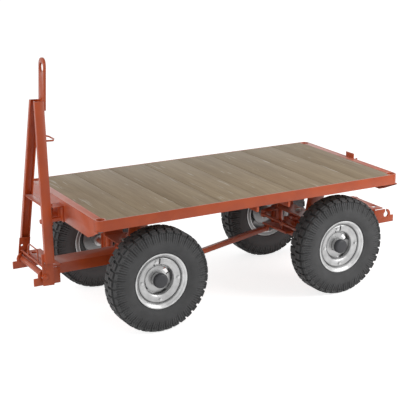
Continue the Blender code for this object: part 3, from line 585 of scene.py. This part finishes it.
class TRAILER_OT_steel(bpy.types.Operator):
    """Painted steel with rounded edges, over every painted part"""
    bl_idname = "trailer.steel"
    bl_label = "Painted Steel"

    def execute(self, context):
        finish = settings()[0]
        for entry in frame["record"]["subparts"]:
            if entry["material_slot"] != "paint":
                continue
            node = entry["node"]
            piece = softened(node, finish.edge)
            if node == "cross_rod":
                self.deepen(piece, middle(node).z)
            elif node.endswith("_draw_beam"):
                self.ream(piece, BORE_PLACE[node.split("_")[0]])
            dress(piece, material("orange_paint"), BODY_OF[node], "paint", node)
        back = block("rear_catch_back", *CATCH_BACK, finish.edge)
        smooth(back)
        dress(back, material("orange_paint"), "chassis", "paint")
        return {"FINISHED"}

    def ream(self, beam, place):
        """Opens the king bolt's bore a little, so that its flats clear the bolt's in a turn."""
        edit(beam)
        bpy.ops.mesh.select_mode(type="VERT")
        select_points(beam, lambda vertex: math.hypot(vertex.co.x - place, vertex.co.y)
                      < BORE_REACH)
        bpy.ops.transform.resize(value=(BORE_GROWTH, BORE_GROWTH, 1),
                                 center_override=(place, 0, 0))
        bpy.ops.object.mode_set(mode="OBJECT")

    def deepen(self, rod, half_way):
        """Moves the rod's lower half down."""
        edit(rod)
        bpy.ops.mesh.select_mode(type="VERT")
        select_points(rod, lambda vertex: vertex.co.z < half_way)
        bpy.ops.transform.translate(value=(0, 0, -ROD_EXTRA))
        bpy.ops.object.mode_set(mode="OBJECT")


class TRAILER_OT_boards(bpy.types.Operator):
    """Deck boards with rounded edges and grain across the deck"""
    bl_idname = "trailer.boards"
    bl_label = "Deck Boards"

    def execute(self, context):
        finish = settings()[0]
        for i, node in enumerate(BOARDS):
            piece = softened(node, finish.board_edge)
            dress(piece, wood_material("board_%d" % (i + 1), i), "chassis", "wood", node)
        return {"FINISHED"}


# Half of the tyre's section from bead to tread: (distance from the axis, from the middle plane)
TYRE_OUTER = (
    (0.1024, 0.0230), (0.1060, 0.0300), (0.1130, 0.0368), (0.1200, 0.0404), (0.1240, 0.0428),
    (0.1275, 0.0474), (0.1315, 0.0480), (0.1350, 0.0500), (0.1470, 0.0532), (0.1560, 0.0545),
    (0.1640, 0.0548))
TYRE_RIBS = ((0.1720, 0.0538), (0.1800, 0.0522), (0.1930, 0.0494), (0.2075, 0.0448))
TYRE_SHOULDER = (0.2165, 0.0372)
TREAD_ROWS = (0.0336, 0.0140)

RIB_SHARES = (0.35, 0.8, 1.0, 1.0)      # of the ribs' height, at each ring
RIB_STEPS = 3           # of three steps around the tyre, one lies between two ribs
RING_MARGIN = 0.0004    # distance at which a point still belongs to a ring
NOTCH_SHARE = 0.6       # depth of the notches between the blocks, by the ribs' height
SHOULDER_SHARE = 0.85   # height of the shoulder blocks, by the tread's depth
CROWN_MARGIN = 0.0008   # distance at which a face still belongs to the tread
FAR_SHIFT = 4           # steps between the blocks of the two halves of the tread

# Painted light on the tyres: the inner sides lighter near the bead, standing in for bounce light;
# none on the outer sides
OUTER_PAINTED_LIGHT = ((0.0, 0.0),)
INNER_PAINTED_LIGHT = ((0.0, 1.0), (0.1600, 1.0), (0.1730, 0.55), (0.1950, 0.20), (0.2060, 0.0))
INNER_PAINTED_LIGHT_FROM = 0.036


def tyre_profile(crown):
    """Half section from bead to crown, then back on the other side."""
    outer = [*TYRE_OUTER, *TYRE_RIBS, TYRE_SHOULDER, *((crown, along) for along in TREAD_ROWS)]
    return outer + [(crown, 0)] + [(radius, -along) for radius, along in reversed(outer)]


def shift_of(way):
    """Steps by which the blocks of one half of the tread are shifted."""
    return 0 if way < 0 else FAR_SHIFT


class TRAILER_OT_tyres(bpy.types.Operator):
    """Air tyres with staggered tread blocks and ribbed shoulders"""
    bl_idname = "trailer.tyres"
    bl_label = "Tyres"

    def execute(self, context):
        tyre = settings()[1]
        first = None
        for end, side in WHEELS:
            node = "%s_%s_tyre" % (end, side)
            centre = middle(node)
            if first is None:
                piece = first = self.model(centre, tyre)
                origin = centre
            else:
                piece = copy_of(first, node)
                piece.location = centre - origin
                settle(piece)
            piece.name = node + "_cover"
            # Painted light on the inner side of each tyre
            mark_painted_light_and_shade(piece, "dust_and_painted_light", centre, OUTER_PAINTED_LIGHT, INNER_PAINTED_LIGHT, -OUTWARD[side],
                      INNER_PAINTED_LIGHT_FROM)
            dress(piece, material("tyre_rubber"), "%s_%s_wheel" % (end, side), "tyre", node)
        return {"FINISHED"}

    def model(self, centre, tyre):
        """Spins the section, pulls out the ribs and raises the blocks of the tread."""
        crown = centre.z - tyre.tread_depth
        count = tyre.pitches * tyre.steps
        piece = turned("tyre_cover", tyre_profile(crown), centre, count)
        edit(piece)
        self.raise_ribs(piece, centre, tyre, count)
        wide, narrow = TREAD_ROWS
        shoulder_height = tyre.tread_depth * SHOULDER_SHARE
        # Columns: least radius, least and greatest distance from the middle plane, height
        rows = ((crown - CROWN_MARGIN, 0.0, narrow, tyre.tread_depth),
                (crown - CROWN_MARGIN, narrow, wide, tyre.tread_depth),
                (TYRE_RIBS[-1][0], TYRE_SHOULDER[1], math.inf, shoulder_height))

        def on_block(away, way):
            angle = math.atan2(away.z, away.x)
            step = math.floor(angle / (2 * math.pi) * count) % tyre.steps
            return (step + shift_of(way)) % tyre.steps < tyre.block_steps

        def raise_blocks(way, radius, low, high, height):
            def chosen(place):
                away = place - centre
                return (math.hypot(away.x, away.z) > radius and low < abs(away.y) < high
                        and away.y * way > 0 and on_block(away, way))

            select_faces(piece, chosen)
            bpy.ops.mesh.inset(thickness=tyre.taper, depth=height)

        for way in (-1, 1):
            for row in rows:
                raise_blocks(way, *row)
        bpy.ops.object.mode_set(mode="OBJECT")
        smooth(piece, 30)
        return piece

    def raise_ribs(self, piece, centre, tyre, count):
        """Pulls ribs out of the shoulders ring by ring, and deepens the notches of the blocks."""
        def pull(ring, way, distance, test):
            notch = (tyre.block_steps + tyre.steps) // 2 - shift_of(way)

            def chosen(vertex):
                away = vertex.co - centre
                step = round(math.atan2(away.z, away.x) / (2 * math.pi) * count)
                on_ring = abs(math.hypot(away.x, away.z) - ring) < RING_MARGIN
                return on_ring and away.y * way > 0 and test((step - notch) % tyre.steps)

            select_points(piece, chosen)
            bpy.ops.transform.translate(value=(0, way * distance, 0))

        bpy.ops.mesh.select_mode(type="VERT")
        for (ring, _), share in zip(TYRE_RIBS, RIB_SHARES):
            height = tyre.rib_depth * share
            for way in (-1, 1):
                pull(ring, way, height, lambda step: step % RIB_STEPS > 0)
                pull(ring, way, -NOTCH_SHARE * height, lambda step: step == 0)
        bpy.ops.mesh.select_mode(type="FACE")
        bpy.ops.mesh.select_all(action="DESELECT")


# Rim's section: (distance from the axis, distance from the middle plane)
RIM_OUTER = (
    (0.1210, 0.0412), (0.1215, 0.0432), (0.1206, 0.0446), (0.1185, 0.0448), (0.1150, 0.0432),
    (0.1120, 0.0410), (0.1090, 0.0388), (0.1055, 0.0352), (0.1030, 0.0320), (0.1014, 0.0284),
    (0.0994, 0.0272), (0.0974, 0.0282), (0.0956, 0.0300), (0.0925, 0.0307), (0.0850, 0.0296),
    (0.0760, 0.0274), (0.0705, 0.0252), (0.0678, 0.0236), (0.0664, 0.0216), (0.0660, 0.0190),
    (0.0652, 0.0066))
RIM_INNER = (
    (0.0668, 0.0060), (0.0678, 0.0180), (0.0700, 0.0206), (0.0765, 0.0244), (0.0850, 0.0270),
    (0.0930, 0.0276), (0.0980, 0.0244), (0.0990, 0.0200), (0.0990, -0.0372), (0.1004, -0.0404),
    (0.1040, -0.0424), (0.1058, -0.0430), (0.1172, -0.0448), (0.1192, -0.0450), (0.1213, -0.0436),
    (0.1205, -0.0412), (0.1120, -0.0408), (0.1045, -0.0392), (0.1016, -0.0365), (0.1016, 0.0240),
    (0.1036, 0.0300), (0.1120, 0.0374))
RIM_SPIN_STEPS = 96

# Painted shade by distance from the axis, dark in the groove and on the opening's wall. On the
# rim: wall of the opening, disc, groove, flange
RIM_PAINTED_SHADE = (
    (0.0000, 1.00), (0.0660, 0.98), (0.0664, 0.62), (0.0678, 0.12), (0.0705, 0.14),
    (0.0850, 0.30), (0.0925, 0.30), (0.0974, 0.48), (0.0994, 1.00), (0.1014, 0.70),
    (0.1030, 0.16), (0.1055, 0.02), (0.1090, 0.04), (0.1120, 0.26), (0.1150, 0.02))
# Painted shade on the rim's back, towards the trailer's middle
RIM_BACK_PAINTED_SHADE = (
    (0.0000, 0.30), (0.0930, 0.12), (0.1004, 0.04), (0.1040, 0.06), (0.1058, 0.72),
    (0.1172, 0.72), (0.1192, 0.04))
RIM_BACK_FROM = -0.0262     # from the middle plane towards the trailer's middle
# Painted shade on the hub's flange and face ring: dark around the cap and at the flange's edge
HUB_PAINTED_SHADE = (
    (0.0000, 0.10), (0.0264, 0.08), (0.0300, 0.30), (0.0345, 0.12), (0.0540, 0.14),
    (0.0576, 0.50), (0.0584, 0.98))
# Painted shade: the drum behind the hub's flange nearly black
DRUM_PAINTED_SHADE = ((0.0000, 0.90), (0.0600, 0.70), (0.0720, 0.50))

# Columns: degrees from the top, inner radius, outer radius, width
RIM_SLOTS = ((0.0, 0.0710, 0.0960, 0.0062), (-20.0, 0.0700, 0.0800, 0.0050))
SLOT_DEPTHS = (0.010, 0.040)
SLOT_EDGE = 0.001

# Wheel bolts, of which the top one stands beside the slot
BOLT_TURNS = (0.0, math.pi / 2 + 0.20, math.pi, math.pi * 1.5)
BOLT_CIRCLE = 0.0845
BOLT_SEAT = 0.0302
BOLT_WIDTH, BOLT_HEIGHT = 0.011, 0.005


class TRAILER_OT_rims(bpy.types.Operator):
    """Pressed rims with a rolled flange, dished disc, slots and wheel bolts"""
    bl_idname = "trailer.rims"
    bl_label = "Rims"

    def execute(self, context):
        for end, side in WHEELS:
            node = "%s_%s_rim" % (end, side)
            wheel = "%s_%s_wheel" % (end, side)
            centre = middle(node)
            out = OUTWARD[side]
            profile = [(radius, out * along) for radius, along in RIM_OUTER + RIM_INNER]
            rim = turned(node + "_pressing", profile, centre, RIM_SPIN_STEPS)
            front, back = (out * depth for depth in SLOT_DEPTHS)
            for turn, low, high, width in RIM_SLOTS:
                cut(rim, (-width / 2, front, low), (width / 2, back, high), SLOT_EDGE, turn,
                    centre)
            smooth(rim, 35)
            # Painted shade in the rim's groove, on the opening's wall and on the rim's back
            mark_painted_light_and_shade(rim, "painted_shade", centre, RIM_PAINTED_SHADE, RIM_BACK_PAINTED_SHADE, -out, RIM_BACK_FROM)
            dress(rim, material("silver_paint"), wheel, "silver", node)
            heads = []
            for turn in BOLT_TURNS:
                place = centre + Vector((BOLT_CIRCLE * math.cos(turn), out * BOLT_SEAT,
                                         BOLT_CIRCLE * math.sin(turn)))
                heads.append(bolt("wheel_bolt", place, (0, out, 0), BOLT_WIDTH, BOLT_HEIGHT))
            bolts = join(heads, node + "_bolts")
            smooth(bolts)
            dress(bolts, material("silver_paint"), wheel, "silver")
        return {"FINISHED"}


# Sections of the rings over the hub's flange: (distance from the axis, from the middle plane)
HUB_FACE = ((0.0264, 0.0053), (0.0264, 0.0061), (0.0300, 0.0066), (0.0560, 0.0066),
            (0.0576, 0.0060), (0.0580, 0.0053))
HUB_DRUM = ((0.0266, -0.0012), (0.0670, -0.0012), (0.0700, -0.0030), (0.0712, -0.0180),
            (0.0700, -0.0190), (0.0685, -0.0180), (0.0680, -0.0048), (0.0655, -0.0030),
            (0.0266, -0.0030))
HUB_SPIN_STEPS = 64
HUB_EDGE = 0.0008

# Section of the cap: (distance from the axis, distance in front of the cap's end)
CAP_SHELL = ((0.0, 0.0006), (0.0215, 0.0006), (0.0262, -0.0004), (0.0292, -0.0028),
             (0.0312, -0.0070), (0.0316, -0.0190), (0.0284, -0.0200))
CAP_WALL = 0.0004
CAP_REACH = 0.013       # how far the cap stands in front of the hub's end

# Curved window in the flange of the left hubs, cut in straight steps: degrees from the
# trailer's length, inner and outer radius, length of a step, half of the depth
WINDOW_TURNS = (28.0, 38.0, 48.0)
WINDOW_RADII = (0.0430, 0.0570)
WINDOW_STEP = 0.015
WINDOW_DEPTH = 0.03
WINDOW_EDGE = 0.0006


class TRAILER_OT_hubs(bpy.types.Operator):
    """Hub flange, with a window on the left wheels, and the dark cap in front"""
    bl_idname = "trailer.hubs"
    bl_label = "Hubs"

    def execute(self, context):
        for end, side in WHEELS:
            node = "%s_%s_hub" % (end, side)
            wheel = "%s_%s_wheel" % (end, side)
            out = OUTWARD[side]
            rim_centre = middle("%s_%s_rim" % (end, side))
            hub = softened(node, HUB_EDGE)
            if side == "left":
                self.cut_window(hub, rim_centre)
            # Painted shade on the hub's flange
            mark_painted_light_and_shade(hub, "painted_shade", rim_centre, HUB_PAINTED_SHADE)
            dress(hub, material("silver_paint"), wheel, "silver", node)
            low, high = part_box(node)
            hub_end = high[1] if out > 0 else low[1]
            cap_end = hub_end - rim_centre.y + out * CAP_REACH
            profile = [(radius, cap_end + out * along) for radius, along in CAP_SHELL]
            cap = turned(node + "_cap", profile, rim_centre, HUB_SPIN_STEPS, closed=False)
            apply_modifier(cap, "SOLIDIFY", thickness=CAP_WALL, offset=1.0)
            smooth(cap, 40)
            dress(cap, material("dark_cap"), wheel, "silver")
            for kind, section, painted_shade in (("_drum", HUB_DRUM, DRUM_PAINTED_SHADE),
                                        ("_face", HUB_FACE, HUB_PAINTED_SHADE)):
                profile = [(radius, out * along) for radius, along in section]
                ring = turned(node + kind, profile, rim_centre, HUB_SPIN_STEPS)
                if side == "left":
                    self.cut_window(ring, rim_centre)
                smooth(ring, 35)
                # Painted shade on the drum and the face ring
                mark_painted_light_and_shade(ring, "painted_shade", rim_centre, painted_shade)
                dress(ring, material("silver_paint"), wheel, "silver")
        return {"FINISHED"}

    def cut_window(self, piece, centre):
        """Curved window, cut in short straight steps."""
        inner, outer = WINDOW_RADII
        for turn in WINDOW_TURNS:
            cut(piece, (inner, -WINDOW_DEPTH, -WINDOW_STEP / 2),
                (outer, WINDOW_DEPTH, WINDOW_STEP / 2), WINDOW_EDGE, -turn, centre)


UP, DOWN, LEFT, RIGHT = (0, 0, 1), (0, 0, -1), (0, -1, 0), (0, 1, 0)
ZINC, PAINT = "zinc_plating", "orange_paint"

# Columns: name, body, place at the front end, direction, width across flats, height, finish.
# The rear end mirrors the front end.
FASTENERS = (
    ("king_bolt", "chassis", (-0.459, 0.0, 0.3040), UP, 0.022, 0.009, ZINC),
    ("left_lip_bolt_a", "chassis", (-0.487, -0.1730, 0.4440), DOWN, 0.013, 0.006, PAINT),
    ("left_lip_bolt_b", "chassis", (-0.431, -0.1730, 0.4440), DOWN, 0.013, 0.006, PAINT),
    ("right_lip_bolt_a", "chassis", (-0.487, 0.1730, 0.4440), DOWN, 0.013, 0.006, PAINT),
    ("right_lip_bolt_b", "chassis", (-0.431, 0.1730, 0.4440), DOWN, 0.013, 0.006, PAINT),
    ("left_track_nut", "left_knuckle", (-0.369, -0.1700, 0.2430), DOWN, 0.013, 0.006, ZINC),
    ("right_track_nut", "right_knuckle", (-0.369, 0.1700, 0.2430), DOWN, 0.013, 0.006, ZINC),
)
# Columns: name, body, place, direction, width across flats, height, finish
SINGLE_FASTENERS = (
    ("cross_rod_front_nut", "front_steering", (-0.359, -0.126, 0.1873), DOWN, 0.013, 0.006, ZINC),
    ("cross_rod_rear_bolt", "cross_rod", (0.359, 0.126, 0.1875), DOWN, 0.013, 0.006, ZINC),
    ("towbar_left_bolt", "towbar", (-0.887, -0.1500, 0.2560), LEFT, 0.012, 0.006, PAINT),
    ("towbar_right_bolt", "towbar", (-0.887, 0.1500, 0.2560), RIGHT, 0.012, 0.006, PAINT),
)
# Grease nipple on the front right kingpin: place, foot's width and height, stem's corners
NIPPLE_PLACE = (-0.459, 0.170, 0.3040)
FOOT_WIDTH, FOOT_HEIGHT = 0.008, 0.004
STEM_LOW, STEM_HIGH = Vector((-0.0024, -0.0024, 0.003)), Vector((0.0024, 0.0024, 0.0105))
STEM_EDGE = 0.0017


class TRAILER_OT_fasteners(bpy.types.Operator):
    """Bolts and nuts of the axles and links, and grease nipples on the kingpins"""
    bl_idname = "trailer.fasteners"
    bl_label = "Fasteners"

    def execute(self, context):
        for end in ENDS:
            turn = 1 if end == "front" else -1
            for name, body, (x, y, z), *shape in FASTENERS:
                if body != "chassis":
                    body = "%s_%s" % (end, body)
                self.fit(end + "_" + name, body, (turn * x, y, z), *shape)
            x, y, z = NIPPLE_PLACE
            for side in SIDES:
                self.fit_nipple("%s_%s_nipple" % (end, side),
                                Vector((turn * x, OUTWARD[side] * y, z)))
        for row in SINGLE_FASTENERS:
            self.fit(*row)
        return {"FINISHED"}

    def fit(self, name, body, place, direction, across, height, finish):
        """Bolt head or nut; zinc has no slot of its own in the record."""
        head = bolt(name, place, direction, across, height)
        smooth(head)
        dress(head, material(finish), body, "silver" if finish == ZINC else "paint")

    def fit_nipple(self, name, place):
        """Hexagon foot with a rounded stem."""
        foot = bolt("nipple_foot", place, UP, FOOT_WIDTH, FOOT_HEIGHT)
        stem = block("nipple_stem", place + STEM_LOW, place + STEM_HIGH, STEM_EDGE, 3)
        nipple = join([foot, stem], name)
        smooth(nipple, 50)
        dress(nipple, material(ZINC), "chassis", "silver")


FLOOR_SIZE = 60
FLOOR_COLOUR = (0.75, 0.75, 0.75)
FLOOR_GLOW = 0.78       # of the floor as the camera sees it
WORLD_LIGHT = 0.42
WORLD_SEEN = 1.0        # strength of the world as the camera sees it
LAMP_AIM = (0, 0, 0.35)
# Columns: name, place, size, power
LAMPS = (("side_light", (1.7, -1.8, 1.7), 1.4, 30),
         ("front_light", (-4.0, -0.4, 1.9), 1.8, 42))


class TRAILER_OT_stage(bpy.types.Operator):
    """Pale floor, soft studio light and the camera"""
    bl_idname = "trailer.stage"
    bl_label = "Studio"

    def execute(self, context):
        self.make_floor()
        self.make_world()
        for row in LAMPS:
            self.make_lamp(*row)
        self.make_camera()
        context.scene.view_settings.view_transform = "Standard"
        return {"FINISHED"}

    def make_floor(self):
        """Plane that glows for the camera only."""
        deselect()
        bpy.ops.mesh.primitive_plane_add(size=FLOOR_SIZE, location=(0, 0, 0))
        floor = bpy.context.object
        floor.name = "studio_floor"
        made, nodes, links, shader = new_material("studio_floor", FLOOR_COLOUR, 0.9)
        shader.inputs["Specular IOR Level"].default_value = 0.0
        glow = nodes.new("ShaderNodeEmission")
        glow.inputs["Strength"].default_value = FLOOR_GLOW
        both = nodes.new("ShaderNodeAddShader")
        links.new(shader.outputs["BSDF"], both.inputs[0])
        links.new(glow.outputs["Emission"], both.inputs[1])
        self.mix_by_ray(nodes, links, shader.outputs["BSDF"], both.outputs["Shader"],
                        nodes["Material Output"])
        floor.data.materials.append(made)

    def make_world(self):
        """White world, brighter for the camera than as a light."""
        world = bpy.data.worlds.new("studio")
        bpy.context.scene.world = world
        world.use_nodes = True
        nodes, links = world.node_tree.nodes, world.node_tree.links
        lit = nodes["Background"]
        seen = nodes.new("ShaderNodeBackground")
        for background, strength in ((lit, WORLD_LIGHT), (seen, WORLD_SEEN)):
            background.inputs["Color"].default_value = (1, 1, 1, 1)
            background.inputs["Strength"].default_value = strength
        self.mix_by_ray(nodes, links, lit.outputs["Background"], seen.outputs["Background"],
                        nodes["World Output"])

    def mix_by_ray(self, nodes, links, lit, seen, output):
        """One shader as light, the other seen directly, in a reflection or through glass."""
        rays = nodes.new("ShaderNodeLightPath")
        share = rays.outputs["Is Camera Ray"]
        for name in ("Is Glossy Ray", "Is Transmission Ray"):
            either = nodes.new("ShaderNodeMath")
            either.operation = "MAXIMUM"
            links.new(share, either.inputs[0])
            links.new(rays.outputs[name], either.inputs[1])
            share = either.outputs[0]
        mix = nodes.new("ShaderNodeMixShader")
        links.new(share, mix.inputs["Fac"])
        links.new(lit, mix.inputs[1])
        links.new(seen, mix.inputs[2])
        links.new(mix.outputs["Shader"], output.inputs["Surface"])

    def make_lamp(self, name, place, size, power):
        """Round area lamp aimed at the trailer."""
        deselect()
        bpy.ops.object.light_add(type="AREA", location=place)
        lamp = bpy.context.object
        lamp.name = name
        lamp.data.shape = "DISK"
        lamp.data.size = size
        lamp.data.energy = power
        aim = Vector(LAMP_AIM) - Vector(place)
        lamp.rotation_euler = aim.to_track_quat("-Z", "Y").to_euler()

    def make_camera(self):
        """Camera at the photograph's angle."""
        stage = settings()[2]
        turn, lift = math.radians(stage.azimuth), math.radians(stage.elevation)
        back = Vector((math.sin(turn) * math.cos(lift), -math.cos(turn) * math.cos(lift),
                       math.sin(lift)))
        target = Vector((0, 0, stage.target))
        deselect()
        bpy.ops.object.camera_add(location=target + back * stage.distance)
        camera = bpy.context.object
        camera.name = "studio_camera"
        camera.rotation_euler = back.to_track_quat("Z", "Y").to_euler()
        camera.data.lens = stage.lens
        camera.data.sensor_width = 36
        camera.data.shift_x = stage.shift
        camera.data.clip_end = 100
        bpy.context.scene.camera = camera


STEPS = (TRAILER_OT_steel, TRAILER_OT_boards, TRAILER_OT_tyres, TRAILER_OT_rims,
         TRAILER_OT_hubs, TRAILER_OT_fasteners, TRAILER_OT_stage)


class TRAILER_PT_panel(bpy.types.Panel):
    """Steps and settings in the sidebar"""
    bl_idname = "TRAILER_PT_panel"
    bl_label = "Platform Trailer"
    bl_space_type = "VIEW_3D"
    bl_region_type = "UI"
    bl_category = "Trailer"

    def draw(self, context):
        for step in STEPS:
            self.layout.operator(step.bl_idname)
        for group in settings():
            for name in group.__annotations__:
                self.layout.prop(group, name)


GROUPS = {"trailer_finish": TrailerFinish, "trailer_tyre": TrailerTyre,
          "trailer_stage": TrailerStage}
CLASSES = (*GROUPS.values(), *STEPS, TRAILER_PT_panel)


def register():
    for kind in CLASSES:
        bpy.utils.register_class(kind)
    for name, group in GROUPS.items():
        setattr(bpy.types.Scene, name, bpy.props.PointerProperty(type=group))


def unregister():
    for name in GROUPS:
        delattr(bpy.types.Scene, name)
    for kind in reversed(CLASSES):
        bpy.utils.unregister_class(kind)


def main():
    register()
    for step in STEPS:
        section, name = step.bl_idname.split(".")
        getattr(getattr(bpy.ops, section), name)()
    object_mode()


if __name__ == "__main__":
    main()
